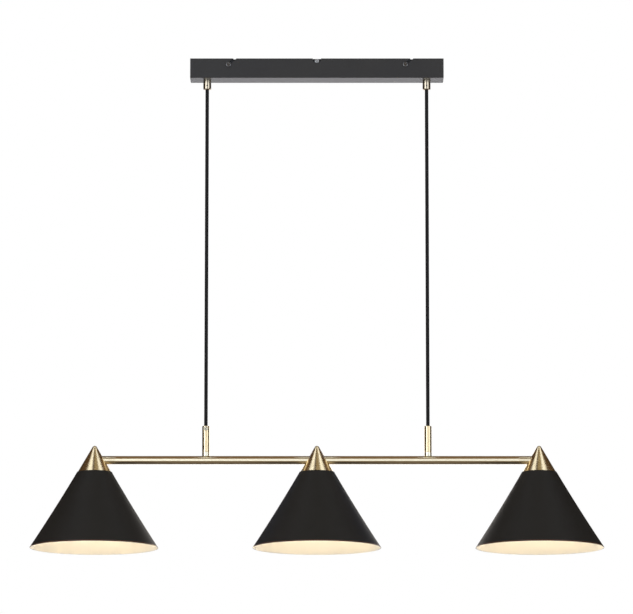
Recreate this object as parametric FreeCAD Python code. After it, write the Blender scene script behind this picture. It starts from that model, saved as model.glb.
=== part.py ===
import FreeCAD, Part
import math
import os

from FreeCAD import Vector

# Linear island pendant: three metal cone shades under a brass bar that hangs on two
# textile cords from a long ceiling canopy. Millimetres, +Z up, +X along the bar.
# The origin is the middle of the bracket's top face, which lies on the ceiling.

# Canopy, a folded steel tray that is open towards the ceiling
canopy_length = 450.0
canopy_width = 45.0
canopy_height = 35.0
canopy_sheet = 1.0
canopy_inner_bend = 0.5
notch_radius = 7.5
notch_drop = 1.0

# Ceiling bracket, a bent steel strip inside the canopy
bracket_from_canopy_end = 50.0
bracket_sheet = 1.5
bracket_strip_width = 30.0
bracket_gap = 0.5
ear_width = 18.0
ear_height = 17.0
ceiling_slot_spacing = 160.0
ceiling_slot_width = 5.2
ceiling_slot_length = 20.0
mains_hole_x = -40.0
mains_hole_radius = 6.0
earth_tab_width = 18.0
earth_tab_height = 13.0
earth_screw_drop = 4.2
earth_head_radius = 3.8
earth_washer_radius = 4.2
earth_washer_thickness = 1.0

# Screws that carry the canopy: each sits at the low end of a slanted slot in its wall
canopy_screw_from_bracket_end = 18.0
canopy_screw_drop = 11.0
canopy_slot_angle = 45.0
canopy_slot_clearance = 0.3
screw_shank_radius = 2.0
screw_head_radius = 4.5
screw_head_height = 2.4
screw_length = 8.0
recess_depth = 1.2
recess_half_width = 0.6
recess_reach_of_head = 0.55
thread_clearance = 0.05
head_clearance = 0.1

# Cords and their grips on the canopy
grip_from_canopy_end = 30.0
cord_diameter = 6.4
cord_free_length = 603.5
cord_clearance = 0.3
grip_diameter = 14.0
grip_length = 17.5
grip_chamfer = 1.3
grip_screw_from_mouth = 6.8
grip_stud_radius = 4.95
grip_stud_length = 8.0
washer_radius = 9.0
washer_thickness = 1.0
locknut_flats = 14.0
locknut_thickness = 3.0
clamp_radius = 6.5
clamp_height = 7.0
clamp_gap = 0.5
tail_above_clamp = 3.0
set_screw_radius = 1.5
set_screw_recess = 0.2

# Terminal block and leads inside the canopy
block_length = 30.0
block_width = 26.0
block_height = 14.0
pole_pitch = 8.0
pole_hole_radius = 1.3
pole_hole_depth = 6.0
pole_screw_radius = 1.6
pole_screw_height = 1.0
pole_screw_from_end = 4.0
block_stud_radius = 1.5
earth_stud_radius = 2.0
earth_stud_x = -75.0
earth_stud_height = 10.0
stud_clearance = 0.2
stud_nut_flats = 7.0
stud_nut_thickness = 2.6
stud_past_nut = 1.0
lead_radius = 0.9
lead_pitch_in_cord = 2.0
lead_end_gap = 1.0
lead_run_depth = 8.5
lead_slope_start = 60.0
lead_slope_end = 36.0
lead_top_bend = 5.0
lead_side_bend = 14.0

# Stems between the cords and the bar
stem_diameter = 12.8
stem_length = 45.5
collar_height = 7.2
saddle_clearance = 0.05
saddle_depth = 0.3
seam_chamfer = 0.3
cord_depth_in_stem = 20.0
stem_screw_from_top = 4.8
stem_screw_head_radius = 3.8
stem_screw_head_height = 1.8
stem_screw_head_round = 0.6
stem_screw_seat_depth = 1.0
stem_screw_slot_width = 1.2
stem_screw_slot_depth = 0.9
stem_screw_slot_angle = 135.0
nipple_radius = 4.0
nipple_bore_radius = 2.8
nipple_clearance = 0.05
stem_nipple_grip = 12.0

# Bar
bar_diameter = 14.6
bar_wall = 1.0
seam_from_cap = 34.7
spigot_length = 14.0
spigot_clearance = 0.05
stub_web = 4.0
stub_past_cap_axis = 8.0
bundle_radius = 1.5
bundle_above_axis = 1.8
bundle_past_drop = 3.0
drop_radius = 1.3
stem_nipple_drop = 2.8

# Cone caps
shade_spacing = 390.0
cap_tip_above_bar = 25.4
cap_base_below_bar = 21.0
cap_half_angle = 30.0
cap_tip_radius = 4.4
cap_wall = 1.6
cap_hole_clearance = 0.1

# Shades
shade_height = 133.5
shade_rim_diameter = 225.0
shade_wall = 0.8
shade_step = 1.1
shade_bow = 1.0

# Lampholders and the fittings that clamp the shades
shade_nut_flats = 13.0
shade_nut_thickness = 4.0
shade_nipple_top = 4.5
holder_radius = 14.0
holder_top_radius = 8.0
holder_gap = 0.3
holder_neck_height = 7.0
holder_shoulder_height = 8.0
holder_chamber_radius = 9.0
holder_chamber_height = 7.0
holder_floor = 2.0
holder_socket_depth = 26.0
shell_wall = 0.6
shell_clearance = 0.1
shell_length = 23.0
shell_from_mouth = 1.0
contact_radius = 4.0
contact_thickness = 0.6
contact_pin_radius = 1.5
contact_tip_drop = 1.5

# Bulbs, small globes with a 14 mm screw base
bulb_base_radius = 6.95
bulb_base_clearance = 0.25
bulb_length = 78.0
bulb_globe_radius = 22.5
bulb_neck_radius = 8.0
bulb_glass_wall = 1.0
bulb_contact_gap = 0.4
bulb_contact_radius = 2.4
bulb_contact_height = 1.3
bulb_insulator_height = 2.5
bulb_shell_out = 0.6
bulb_collar_height = 1.6

# Places that follow from the sizes above
cord_radius = cord_diameter / 2
cord_x = canopy_length / 2 - grip_from_canopy_end
canopy_floor_z = canopy_sheet - canopy_height
bracket_half_length = canopy_length / 2 - bracket_from_canopy_end
bracket_half_width = canopy_width / 2 - canopy_sheet - bracket_gap
canopy_screw_x = bracket_half_length - canopy_screw_from_bracket_end
earth_tab_front = bracket_half_width - screw_head_height - earth_washer_thickness
grip_mouth_z = -canopy_height - grip_length
clamp_low_z = canopy_floor_z + grip_stud_length + clamp_gap
tail_top_z = clamp_low_z + clamp_height + tail_above_clamp
block_top_z = canopy_floor_z + block_height
pole_z = canopy_floor_z + block_height / 2
stem_radius = stem_diameter / 2
stem_top_z = grip_mouth_z - cord_free_length
stem_bottom_z = stem_top_z - stem_length
cord_end_z = stem_top_z - cord_depth_in_stem
nipple_hole = nipple_radius + nipple_clearance
stem_nipple_top_z = stem_bottom_z + stem_nipple_grip
bar_radius = bar_diameter / 2
bar_z = stem_bottom_z - collar_height - bar_radius
cap_tip_z = bar_z + cap_tip_above_bar
cap_base_z = bar_z - cap_base_below_bar
rim_z = cap_base_z - shade_height
seam_x = shade_spacing - seam_from_cap
shade_places = {"left": -shade_spacing, "centre": 0.0, "right": shade_spacing}
sides = {"left": -1, "right": 1}

cone = math.radians(cap_half_angle)
cap_apex_z = cap_tip_z + cap_tip_radius * (1 / math.sin(cone) - 1)
cap_base_radius = (cap_apex_z - cap_base_z) * math.tan(cone)
shade_top_radius = cap_base_radius + shade_step
nut_bottom_z = cap_base_z - shade_wall - shade_nut_thickness
holder_top_z = nut_bottom_z - holder_gap
holder_chamber_z = holder_top_z - holder_neck_height
holder_floor_z = holder_chamber_z - holder_chamber_height
socket_top_z = holder_floor_z - holder_floor
holder_mouth_z = socket_top_z - holder_socket_depth
shell_bore_radius = bulb_base_radius + bulb_base_clearance
socket_radius = shell_bore_radius + shell_wall + shell_clearance
contact_tip_z = socket_top_z - contact_thickness - contact_tip_drop
bulb_top_z = contact_tip_z - bulb_contact_gap
bulb_bottom_z = bulb_top_z - bulb_length
globe_z = bulb_bottom_z + bulb_globe_radius
glass_top_z = holder_mouth_z - bulb_shell_out - bulb_collar_height


def at(x, y, z):
    """A point."""
    return Vector(x, y, z)


def cylinder(radius, low, high, x=0.0, y=0.0):
    """An upright cylinder between two heights."""
    return Part.makeCylinder(radius, high - low, at(x, y, low))


def ring(outer, inner, low, high, x=0.0, y=0.0):
    """An upright tube between two heights."""
    return cylinder(outer, low, high, x, y).cut(cylinder(inner, low, high, x, y))


def along_x(radius, start, end, z):
    """A cylinder along the bar."""
    return Part.makeCylinder(radius, end - start, at(start, 0, z), at(1, 0, 0))


def box(low, high):
    """A box between its lowest and highest corners."""
    size = high - low
    return Part.makeBox(size.x, size.y, size.z, low)


def turned(outline, x=0.0):
    """A solid of revolution about the upright axis at x, from edges in the XZ plane."""
    face = Part.Face(Part.Wire(outline))
    solid = face.revolve(at(0, 0, 0), at(0, 0, 1), 360)
    solid.translate(at(x, 0, 0))
    return solid


def straight(points):
    """Line edges through (radius, height) points, not closed."""
    corners = [at(radius, 0, height) for radius, height in points]
    return [Part.LineSegment(a, b).toShape() for a, b in zip(corners, corners[1:])]


def turned_polygon(points, x=0.0):
    """A solid of revolution with a straight-sided outline."""
    return turned(straight(points + points[:1]), x)


def curve(start, middle, end):
    """An arc edge through three (radius, height) points."""
    corners = [at(radius, 0, height) for radius, height in (start, middle, end)]
    return Part.Arc(*corners).toShape()


def hexagon(flats, low, high, x=0.0, y=0.0):
    """An upright hexagonal prism."""
    corner = flats / 2 / math.cos(math.pi / 6)
    points = []
    for turn in range(7):
        angle = math.pi / 3 * turn
        points.append(at(x + corner * math.cos(angle), y + corner * math.sin(angle), low))
    return Part.Face(Part.makePolygon(points)).extrude(at(0, 0, high - low))


def nut(flats, bore, low, high, x=0.0, y=0.0):
    """A hexagonal nut with a plain bore."""
    return hexagon(flats, low, high, x, y).cut(cylinder(bore, low, high, x, y))


def pan_screw(head_radius, seat, outward):
    """A pan-head screw whose head sits on the point seat and faces outward."""
    head = Part.makeCylinder(head_radius, screw_head_height)
    rim_edges = [edge for edge in head.Edges if edge.BoundBox.ZMin > screw_head_height / 2]
    head = head.makeFillet(screw_head_height / 2, [rim_edges[0]])
    shank = Part.makeCylinder(screw_shank_radius, screw_length, at(0, 0, -screw_length))
    screw = head.fuse(shank)
    arm = head_radius * recess_reach_of_head
    for width, depth in ((arm, recess_half_width), (recess_half_width, arm)):
        low = at(-width, -depth, screw_head_height - recess_depth)
        screw = screw.cut(box(low, at(width, depth, screw_head_height)))
    screw = screw.removeSplitter()
    screw.Placement = FreeCAD.Placement(seat, FreeCAD.Rotation(at(0, 0, 1), outward))
    return screw


def set_screw(cord_surface, seat_radius, x, z, outward):
    """A grub screw in the wall of a round sleeve, from its outside to near the cord."""
    outer = seat_radius - set_screw_recess
    start = at(x, outward * cord_surface, z)
    return Part.makeCylinder(set_screw_radius, outer - cord_surface, start, at(0, outward, 0))


def set_screw_hole(seat_radius, x, z, outward):
    """The tapped hole for a grub screw, from the sleeve's axis outwards."""
    radius = set_screw_radius + thread_clearance
    return Part.makeCylinder(radius, 2 * seat_radius, at(x, 0, z), at(0, outward, 0))


def stem_screw(x, z, outward):
    """A slotted screw with its head on a stem's flat seat and its shank's end near the cord."""
    seat = stem_radius - stem_screw_seat_depth + head_clearance
    length = seat - cord_radius - cord_clearance
    head = Part.makeCylinder(stem_screw_head_radius, stem_screw_head_height)
    rim = [edge for edge in head.Edges if edge.BoundBox.ZMin > stem_screw_head_height / 2]
    head = head.makeFillet(stem_screw_head_round, [rim[0]])
    screw = head.fuse(Part.makeCylinder(screw_shank_radius, length, at(0, 0, -length)))
    reach = at(stem_screw_head_radius, stem_screw_slot_width / 2, 0)
    foot = at(0, 0, stem_screw_head_height - stem_screw_slot_depth)
    slot = box(foot - reach, reach + at(0, 0, stem_screw_head_height))
    slot.rotate(at(0, 0, 0), at(0, 0, 1), stem_screw_slot_angle)
    screw = screw.cut(slot).removeSplitter()
    screw.Placement = FreeCAD.Placement(at(x, outward * seat, z),
                                        FreeCAD.Rotation(at(0, 0, 1), at(0, outward, 0)))
    return screw


def rounded_path(points, bends):
    """Straight runs joined by tangent arcs, each arc's radius given per inner point."""
    edges = []
    start = points[0]
    for before, corner, after, radius in zip(points, points[1:], points[2:], bends):
        into = (corner - before).normalize()
        out = (after - corner).normalize()
        turn = into.getAngle(out)
        back = radius * math.tan(turn / 2)
        first = corner - into * back
        last = corner + out * back
        inward = (out - into).normalize()
        centre = corner + inward * (radius / math.cos(turn / 2))
        middle = centre - inward * radius
        edges.append(Part.LineSegment(start, first).toShape())
        edges.append(Part.Arc(first, middle, last).toShape())
        start = last
    edges.append(Part.LineSegment(start, points[-1]).toShape())
    return Part.Wire(edges)


def lead(points, bends, radius):
    """A round insulated wire along a rounded path."""
    direction = (points[1] - points[0]).normalize()
    profile = Part.Wire(Part.Circle(points[0], direction, radius).toShape())
    return rounded_path(points, bends).makePipeShell([profile], True, False)


def slanted_slot(x):
    """Cutter for one pair of wall slots, from the screw's seat up past the top edge."""
    half = screw_shank_radius + canopy_slot_clearance
    angle = math.radians(canopy_slot_angle)
    reach = (canopy_screw_drop + 2 * half) / math.sin(angle)
    seat = Part.makeCylinder(half, 2 * canopy_width, at(0, -canopy_width, 0), at(0, 1, 0))
    run = box(at(0, -canopy_width, -half), at(reach, canopy_width, half))
    cutter = seat.fuse(run)
    cutter.rotate(at(0, 0, 0), at(0, -1, 0), canopy_slot_angle)
    cutter.translate(at(x, 0, -canopy_screw_drop))
    return cutter


def canopy_cover():
    """The folded tray with its screw slots, front notch and two cord holes."""
    half = at(canopy_length / 2, canopy_width / 2, 0)
    outer = box(at(-half.x, -half.y, -canopy_height), at(half.x, half.y, 0))
    bends = [edge for edge in outer.Edges if edge.BoundBox.ZMin < -canopy_height / 2]
    outer = outer.makeFillet(canopy_inner_bend + canopy_sheet, bends)
    wall = at(canopy_sheet, canopy_sheet, 0)
    low = at(-half.x, -half.y, canopy_floor_z) + wall
    high = at(half.x, half.y, canopy_height) - wall
    inner = box(low, high)
    bends = [edge for edge in inner.Edges if edge.BoundBox.ZMin < 0]
    inner = inner.makeFillet(canopy_inner_bend, bends)
    cover = outer.cut(inner)
    for side in sides.values():
        cover = cover.cut(slanted_slot(side * canopy_screw_x))
        hole_radius = grip_stud_radius + thread_clearance
        cover = cover.cut(cylinder(hole_radius, -canopy_height, canopy_floor_z, side * cord_x))
    start = at(0, -canopy_width, -notch_drop)
    return cover.cut(Part.makeCylinder(notch_radius, canopy_width, start, at(0, 1, 0)))


def ceiling_bracket():
    """The strip against the ceiling with its ears, earth tab, slots and mains hole."""
    half_strip = bracket_strip_width / 2
    bracket = box(at(-bracket_half_length, -half_strip, -bracket_sheet),
                  at(bracket_half_length, half_strip, 0))
    tongue = box(at(-earth_tab_width / 2, -earth_tab_front, -bracket_sheet),
                 at(earth_tab_width / 2, 0, 0))
    tab = box(at(-earth_tab_width / 2, -earth_tab_front, -earth_tab_height),
              at(earth_tab_width / 2, -earth_tab_front + bracket_sheet, 0))
    bracket = bracket.fuse(tongue).fuse(tab)
    hole_radius = screw_shank_radius + thread_clearance
    for side in sides.values():
        x = side * canopy_screw_x
        tongues = box(at(x - ear_width / 2, -bracket_half_width, -bracket_sheet),
                      at(x + ear_width / 2, bracket_half_width, 0))
        bracket = bracket.fuse(tongues)
        for wall in (-1, 1):
            inner = wall * (bracket_half_width - bracket_sheet)
            outer = wall * bracket_half_width
            ear = box(at(x - ear_width / 2, min(inner, outer), -ear_height),
                      at(x + ear_width / 2, max(inner, outer), 0))
            bracket = bracket.fuse(ear)
        tapped = Part.makeCylinder(hole_radius, canopy_width,
                                   at(x, -canopy_width / 2, -canopy_screw_drop), at(0, 1, 0))
        bracket = bracket.cut(tapped)
        slot_x = side * ceiling_slot_spacing / 2
        half_slot = ceiling_slot_length / 2 - ceiling_slot_width / 2
        for end in (-half_slot, half_slot):
            round_end = cylinder(ceiling_slot_width / 2, -bracket_sheet, 0, slot_x + end)
            bracket = bracket.cut(round_end)
        bracket = bracket.cut(box(at(slot_x - half_slot, -ceiling_slot_width / 2, -bracket_sheet),
                                  at(slot_x + half_slot, ceiling_slot_width / 2, 0)))
    bracket = bracket.cut(cylinder(mains_hole_radius, -bracket_sheet, 0, mains_hole_x))
    earth_hole = Part.makeCylinder(hole_radius, 2 * bracket_sheet,
                                   at(0, -earth_tab_front - bracket_sheet / 2, -earth_screw_drop),
                                   at(0, 1, 0))
    return bracket.cut(earth_hole).removeSplitter()


def canopy_screws():
    """Four screws in the bracket's ears, heads outside the canopy's two long walls."""
    screws = []
    seat_y = canopy_width / 2 + head_clearance
    for side in sides.values():
        for wall in (-1, 1):
            seat = at(side * canopy_screw_x, wall * seat_y, -canopy_screw_drop)
            screws.append(pan_screw(screw_head_radius, seat, at(0, wall, 0)))
    return screws


def earth_screw():
    """The bracket's earth screw and its washer, seen through the canopy's notch."""
    seat = at(0, -earth_tab_front - earth_washer_thickness, -earth_screw_drop)
    screw = pan_screw(earth_head_radius, seat, at(0, -1, 0))
    washer = Part.makeCylinder(earth_washer_radius, earth_washer_thickness, seat, at(0, 1, 0))
    bore_radius = screw_shank_radius + thread_clearance
    bore = Part.makeCylinder(bore_radius, earth_washer_thickness, seat, at(0, 1, 0))
    return [screw, washer.cut(bore)]


def cord_grip(x):
    """A turned grip: a sleeve under the canopy and a threaded stud through its floor."""
    bore = cord_radius + cord_clearance
    radius = grip_diameter / 2
    stud_top = canopy_floor_z + grip_stud_length
    outline = [(bore, grip_mouth_z), (radius - grip_chamfer, grip_mouth_z),
               (radius, grip_mouth_z + grip_chamfer), (radius, -canopy_height),
               (grip_stud_radius, -canopy_height), (grip_stud_radius, stud_top),
               (bore, stud_top)]
    grip = turned_polygon(outline, x)
    return grip.cut(set_screw_hole(radius, x, grip_mouth_z + grip_screw_from_mouth, -1))


def grip_fittings():
    """Washers, lock nuts, cord clamps and grub screws of both grips, in lists by name."""
    washer_top = canopy_floor_z + washer_thickness
    nut_top = washer_top + locknut_thickness
    hole = grip_stud_radius + thread_clearance
    fittings = {"washers": [], "nuts": [], "clamps": [], "screws": []}
    for side in sides.values():
        x = side * cord_x
        fittings["washers"].append(ring(washer_radius, hole, canopy_floor_z, washer_top, x))
        fittings["nuts"].append(nut(locknut_flats, hole, washer_top, nut_top, x))
        bore = cord_radius + thread_clearance
        clamp_top = clamp_low_z + clamp_height
        fittings["clamps"].append(ring(clamp_radius, bore, clamp_low_z, clamp_top, x))
        reach = cord_radius + cord_clearance / 2
        z = grip_mouth_z + grip_screw_from_mouth
        fittings["screws"].append(set_screw(reach, grip_diameter / 2, x, z, -1))
    return fittings


def terminal_block():
    """A three-pole block on the canopy's floor with a through stud between two poles."""
    block = box(at(-block_length / 2, -block_width / 2, canopy_floor_z),
                at(block_length / 2, block_width / 2, block_top_z))
    for pole in (-1, 0, 1):
        for side in sides.values():
            start = at(side * block_length / 2, pole * pole_pitch, pole_z)
            entry = Part.makeCylinder(pole_hole_radius, pole_hole_depth, start, at(-side, 0, 0))
            block = block.cut(entry)
    stud_hole = cylinder(block_stud_radius + stud_clearance, canopy_floor_z, block_top_z,
                         0, pole_pitch / 2)
    return block.cut(stud_hole)


def terminal_screws():
    """Two screw heads on each pole, seated on the block's top."""
    screws = []
    for pole in (-1, 0, 1):
        for side in sides.values():
            x = side * (block_length / 2 - pole_screw_from_end)
            screws.append(cylinder(pole_screw_radius, block_top_z,
                                   block_top_z + pole_screw_height, x, pole * pole_pitch))
    return screws


def canopy_studs():
    """Welded studs on the canopy's floor: one for the block and one for the earth."""
    block_stud = cylinder(block_stud_radius, canopy_floor_z,
                          block_top_z + stud_nut_thickness + stud_past_nut, 0, pole_pitch / 2)
    earth_stud = cylinder(earth_stud_radius, canopy_floor_z,
                          canopy_floor_z + earth_stud_height, earth_stud_x)
    return [block_stud, earth_stud]


def stud_nuts():
    """The nuts on the two studs."""
    bore = thread_clearance
    on_block = nut(stud_nut_flats, block_stud_radius + bore, block_top_z,
                   block_top_z + stud_nut_thickness, 0, pole_pitch / 2)
    on_floor = nut(stud_nut_flats, earth_stud_radius + bore, canopy_floor_z,
                   canopy_floor_z + stud_nut_thickness, earth_stud_x)
    return [on_block, on_floor]


def canopy_leads(pole):
    """One pole's two wires, from each cord's end to the block."""
    wires = []
    bends = (lead_top_bend, lead_side_bend, lead_side_bend)
    for side in sides.values():
        start_y = pole * lead_pitch_in_cord
        block_y = pole * pole_pitch
        end_x = block_length / 2 - pole_hole_depth + lead_end_gap
        points = [at(side * cord_x, start_y, tail_top_z),
                  at(side * cord_x, start_y, -lead_run_depth),
                  at(side * lead_slope_start, block_y, -lead_run_depth),
                  at(side * lead_slope_end, block_y, pole_z),
                  at(side * end_x, block_y, pole_z)]
        wires.append(lead(points, bends, lead_radius))
    return wires


def stem(x, screw_side):
    """The turned sleeve that holds a cord's lower end, with a screw's flat seat and hole."""
    bore = cord_radius + cord_clearance
    outline = [(bore, stem_nipple_top_z), (bore, stem_top_z),
               (stem_radius - seam_chamfer, stem_top_z), (stem_radius, stem_top_z - seam_chamfer),
               (stem_radius, stem_bottom_z + seam_chamfer),
               (stem_radius - seam_chamfer, stem_bottom_z), (nipple_hole, stem_bottom_z),
               (nipple_hole, stem_nipple_top_z)]
    sleeve = turned_polygon(outline, x)
    screw_z = stem_top_z - stem_screw_from_top
    outward = at(0, screw_side, 0)
    seat = at(x, screw_side * (stem_radius - stem_screw_seat_depth), screw_z)
    spot = Part.makeCylinder(stem_screw_head_radius + head_clearance, stem_radius, seat, outward)
    hole_radius = screw_shank_radius + thread_clearance
    hole = Part.makeCylinder(hole_radius, 2 * stem_radius, at(x, 0, screw_z), outward)
    return sleeve.cut(spot).cut(hole)


def stem_collar(x):
    """The ring under a stem, its foot barely hollowed where it sits on the round bar."""
    foot_z = bar_z + bar_radius - saddle_depth
    outline = [(nipple_hole, foot_z), (nipple_hole, stem_bottom_z),
               (stem_radius - seam_chamfer, stem_bottom_z),
               (stem_radius, stem_bottom_z - seam_chamfer), (stem_radius, foot_z)]
    collar = turned_polygon(outline, x)
    saddle = along_x(bar_radius + saddle_clearance, x - stem_diameter, x + stem_diameter, bar_z)
    return collar.cut(saddle)


def hollow_nipple(low, high, x):
    """A length of threaded tube."""
    return ring(nipple_radius, nipple_bore_radius, low, high, x)


def bar_tube():
    """The long tube through the centre cap, drilled for two stems and one shade."""
    inner = bar_radius - bar_wall
    shape = along_x(bar_radius, -seam_x, seam_x, bar_z).cut(along_x(inner, -seam_x, seam_x, bar_z))
    for side in sides.values():
        shape = shape.cut(cylinder(nipple_hole, bar_z, bar_z + bar_diameter, side * cord_x))
    return shape.cut(cylinder(nipple_hole, bar_z - bar_diameter, bar_z))


def end_stub(side):
    """The short tube in an end cap, with a spigot that plugs into the long tube."""
    inner = bar_radius - bar_wall
    end_x = shade_spacing + stub_past_cap_axis
    spigot_radius = inner - spigot_clearance
    spigot_bore = spigot_radius - bar_wall
    stub = along_x(bar_radius, seam_x, end_x, bar_z)
    stub = stub.fuse(along_x(spigot_radius, seam_x - spigot_length, seam_x, bar_z))
    stub = stub.cut(along_x(spigot_bore, seam_x - spigot_length, end_x, bar_z))
    stub = stub.cut(along_x(inner, seam_x + stub_web, end_x, bar_z))
    stub = stub.cut(cylinder(nipple_hole, bar_z - bar_diameter, bar_z, shade_spacing))
    if side < 0:
        stub = stub.mirror(at(0, 0, 0), at(1, 0, 0))
    return stub


def bar_wiring():
    """The bundle in the bar with its branches down the nipples and up the stems."""
    z = bar_z + bundle_above_axis
    end_x = shade_spacing + bundle_past_drop
    harness = along_x(bundle_radius, -end_x, end_x, z)
    for x in shade_places.values():
        harness = harness.fuse(cylinder(drop_radius, holder_chamber_z, z, x))
    for side in sides.values():
        harness = harness.fuse(cylinder(drop_radius, z, cord_end_z, side * cord_x))
    return harness.removeSplitter()


def cone_cap(x, openings):
    """A turned cone with a rounded tip, bored on each side where the bar passes."""
    def wall_line(offset):
        ball = cap_tip_radius - offset
        ball_z = cap_tip_z - cap_tip_radius
        touch = (ball * math.cos(cone), ball_z + ball * math.sin(cone))
        half = (ball * math.sin(cone), ball_z + ball * math.cos(cone))
        foot = ((ball_z + ball / math.sin(cone) - cap_base_z) * math.tan(cone), cap_base_z)
        return (0, ball_z + ball), half, touch, foot

    tip, half, touch, foot = wall_line(0)
    inner_tip, inner_half, inner_touch, inner_foot = wall_line(cap_wall)
    outline = [curve(tip, half, touch)]
    outline += straight([touch, foot, inner_foot, inner_touch])
    outline += [curve(inner_touch, inner_half, inner_tip)]
    outline += straight([inner_tip, tip])
    cap = turned(outline, x)
    for side in openings:
        reach = side * 2 * cap_base_radius
        bore = along_x(bar_radius + cap_hole_clearance, min(x, x + reach), max(x, x + reach), bar_z)
        cap = cap.cut(bore)
    return cap


def shade(x):
    """A spun shade: flat top with a nipple hole, and a slightly trumpet-shaped wall."""
    rim_radius = shade_rim_diameter / 2
    slope = math.atan2(rim_radius - shade_top_radius, shade_height)
    across = shade_wall / math.cos(slope)
    mid_radius = (shade_top_radius + rim_radius) / 2 - shade_bow * math.cos(slope)
    mid_z = (cap_base_z + rim_z) / 2 - shade_bow * math.sin(slope)
    under_z = cap_base_z - shade_wall
    inner_top_radius = shade_top_radius + shade_wall * math.tan(slope) - across
    outline = straight([(nipple_hole, under_z), (nipple_hole, cap_base_z),
                        (shade_top_radius, cap_base_z)])
    outline += [curve((shade_top_radius, cap_base_z), (mid_radius, mid_z), (rim_radius, rim_z))]
    outline += straight([(rim_radius, rim_z), (rim_radius - across, rim_z)])
    outline += [curve((rim_radius - across, rim_z), (mid_radius - across, mid_z),
                      (inner_top_radius, under_z))]
    outline += straight([(inner_top_radius, under_z), (nipple_hole, under_z)])
    return turned(outline, x)


def lampholder(x):
    """A moulded holder: neck, wiring chamber, floor and the socket for the bulb."""
    shoulder_z = holder_top_z - holder_shoulder_height
    outline = [(nipple_hole, holder_top_z), (holder_top_radius, holder_top_z),
               (holder_radius, shoulder_z), (holder_radius, holder_mouth_z),
               (socket_radius, holder_mouth_z), (socket_radius, socket_top_z),
               (contact_pin_radius + thread_clearance, socket_top_z),
               (contact_pin_radius + thread_clearance, holder_floor_z),
               (holder_chamber_radius, holder_floor_z), (holder_chamber_radius, holder_chamber_z),
               (nipple_hole, holder_chamber_z)]
    return turned_polygon(outline, x)


def socket_shell(x):
    """The threaded metal sleeve in a holder."""
    low = holder_mouth_z + shell_from_mouth
    outer = shell_bore_radius + shell_wall
    return ring(outer, shell_bore_radius, low, low + shell_length, x)


def centre_contact(x):
    """The spring contact under the holder's floor, with its pin through the floor."""
    plate = cylinder(contact_radius, socket_top_z - contact_thickness, socket_top_z, x)
    pin = cylinder(contact_pin_radius, contact_tip_z, holder_floor_z, x)
    return plate.fuse(pin).removeSplitter()


def bulb_base(x):
    """The bulb's contact, insulator and screw shell."""
    shoulder_z = bulb_top_z - bulb_contact_height - bulb_insulator_height
    collar_top_z = glass_top_z + bulb_collar_height
    outline = [(0, bulb_top_z), (bulb_contact_radius, bulb_top_z),
               (bulb_contact_radius, bulb_top_z - bulb_contact_height),
               (bulb_base_radius, shoulder_z), (bulb_base_radius, collar_top_z),
               (bulb_neck_radius, glass_top_z), (0, glass_top_z)]
    return turned_polygon(outline, x)


def globe_body(inset):
    """A solid globe with its neck, this far inside the bulb's outer surface."""
    ball = bulb_globe_radius - inset
    neck = bulb_neck_radius - inset
    # The neck's hollow curve is an arc that starts upright and touches the ball.
    rise = glass_top_z - globe_z
    hollow = (rise * rise + neck * neck - ball * ball) / (2 * (ball - neck))
    share = ball / (ball + hollow)
    touch = ((neck + hollow) * share, globe_z + rise * share)
    turn = math.atan2(rise * (1 - share), (neck + hollow) * (1 - share))
    neck_middle = (neck + hollow - hollow * math.cos(turn / 2),
                   glass_top_z - hollow * math.sin(turn / 2))
    low = (turn - math.pi / 2) / 2
    ball_middle = (ball * math.cos(low), globe_z + ball * math.sin(low))
    outline = [curve((neck, glass_top_z), neck_middle, touch),
               curve(touch, ball_middle, (0, globe_z - ball))]
    outline += straight([(0, globe_z - ball), (0, glass_top_z), (neck, glass_top_z)])
    return turned(outline)


def bulb_glass(x):
    """The hollow globe: a sphere that runs into the neck in a hollow curve."""
    glass = globe_body(0).cut(globe_body(bulb_glass_wall))
    glass.translate(at(x, 0, 0))
    return glass


def save(name, solids):
    """Write one node, made of one or more separate solids."""
    if not isinstance(solids, list):
        solids = [solids]
    shape = solids[0] if len(solids) == 1 else Part.makeCompound(solids)
    if not shape.isValid():
        raise ValueError(name + " isn't valid")
    shape.exportStep(os.path.join("parts", name + ".step"))
    print(name, len(shape.Solids), round(shape.Volume, 1))


os.makedirs("parts", exist_ok=True)

# Held to the ceiling
save("ceiling_bracket", ceiling_bracket())
save("canopy_screws", canopy_screws())
save("earth_screw", earth_screw())

# Canopy and what it carries
save("canopy_cover", canopy_cover())
fittings = grip_fittings()
save("grip_washers", fittings["washers"])
save("grip_locknuts", fittings["nuts"])
save("cord_clamps", fittings["clamps"])
save("grip_set_screws", fittings["screws"])
save("terminal_block", terminal_block())
save("terminal_screws", terminal_screws())
save("canopy_studs", canopy_studs())
save("stud_nuts", stud_nuts())
for pole, colour in ((-1, "brown"), (0, "earth"), (1, "blue")):
    save("lead_" + colour, canopy_leads(pole))
for side_name, side in sides.items():
    save("cord_grip_" + side_name, cord_grip(side * cord_x))
    save("cord_tail_" + side_name, cylinder(cord_radius, grip_mouth_z, tail_top_z, side * cord_x))

# Free cords
for side_name, side in sides.items():
    save("cord_" + side_name, cylinder(cord_radius, cord_end_z, grip_mouth_z, side * cord_x))

# Bar and stems
stem_screws = []
stem_nipples = []
for side_name, side in sides.items():
    x = side * cord_x
    save("stem_" + side_name, stem(x, side))
    save("stem_collar_" + side_name, stem_collar(x))
    save("end_stub_" + side_name, end_stub(side))
    screw_z = stem_top_z - stem_screw_from_top
    stem_screws.append(stem_screw(x, screw_z, side))
    low = bar_z + bar_radius - stem_nipple_drop
    stem_nipples.append(hollow_nipple(low, stem_nipple_top_z, x))
save("stem_screws", stem_screws)
save("stem_nipples", stem_nipples)
save("bar_tube", bar_tube())
save("bar_wiring", bar_wiring())

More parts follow.
